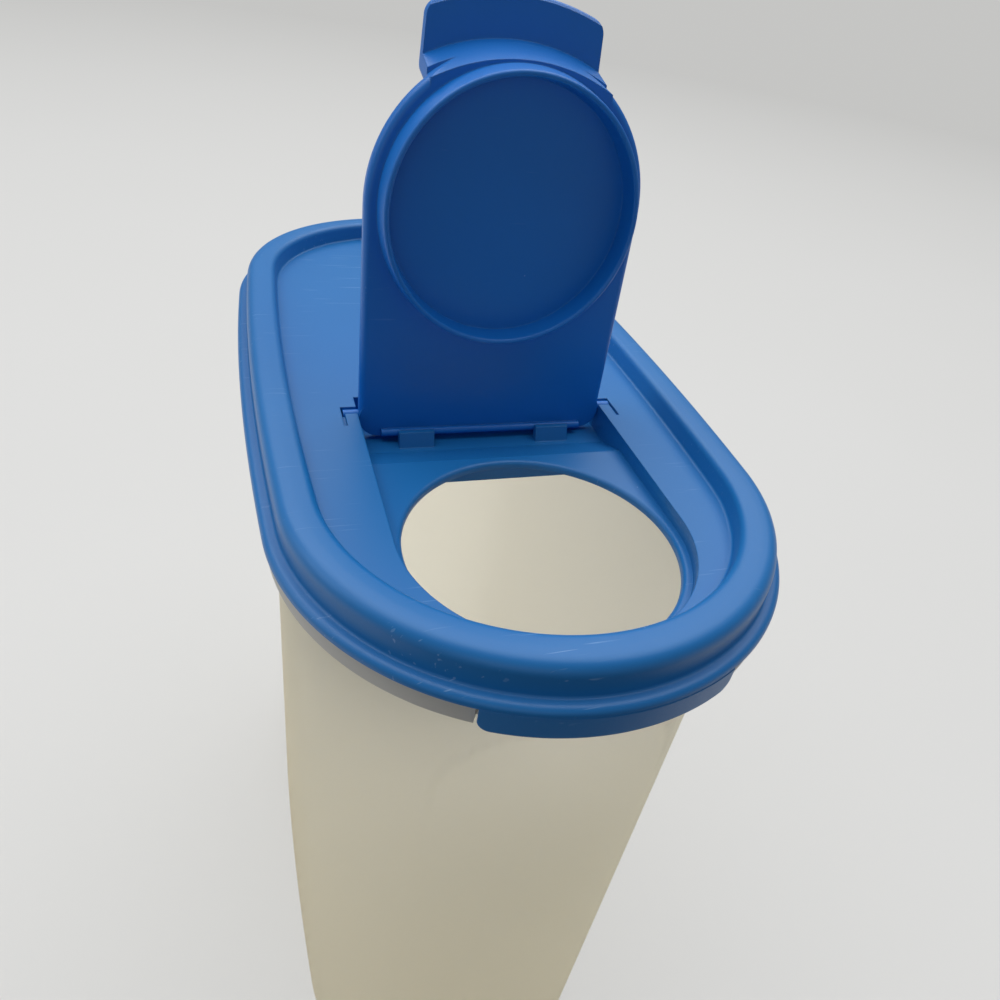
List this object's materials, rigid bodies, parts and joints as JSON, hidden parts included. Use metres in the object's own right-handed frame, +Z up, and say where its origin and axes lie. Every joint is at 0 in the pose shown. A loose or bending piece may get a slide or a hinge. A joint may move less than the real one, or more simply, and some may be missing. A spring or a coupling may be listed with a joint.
{
  "type": "cereal container",
  "caption": "Tall oval cereal container in cream plastic with a blue press-on lid, a round pouring hole and a hinged flap that stands open",
  "frame": {"origin": "the middle of the foot ring, on the table", "axes": "+Z up, Y along the oval with the pouring end at -Y, +X across it"},
  "size_m": [0.1, 0.1913, 0.2656],
  "materials": {
    "cream_plastic": "satin, slightly see-through",
    "blue_plastic": "satin",
    "deep_blue_plastic": "satin"
  },
  "bodies": {
    "container": {"container": "cream_plastic"},
    "lid": {"lid": "blue_plastic"},
    "flap": {"flap": "deep_blue_plastic"}
  },
  "joints": [
    {"name": "lid_lift", "type": "slide", "parent": "container", "child": "lid", "axis": [0, 0, 1], "range_m": [0, 0.03]},
    {"name": "flap_hinge", "type": "hinge", "parent": "lid", "child": "flap", "pos_m": [0, -0.0155, 0.18895], "axis": [1, 0, 0], "range_deg": [0, 92.4]}
  ]
}
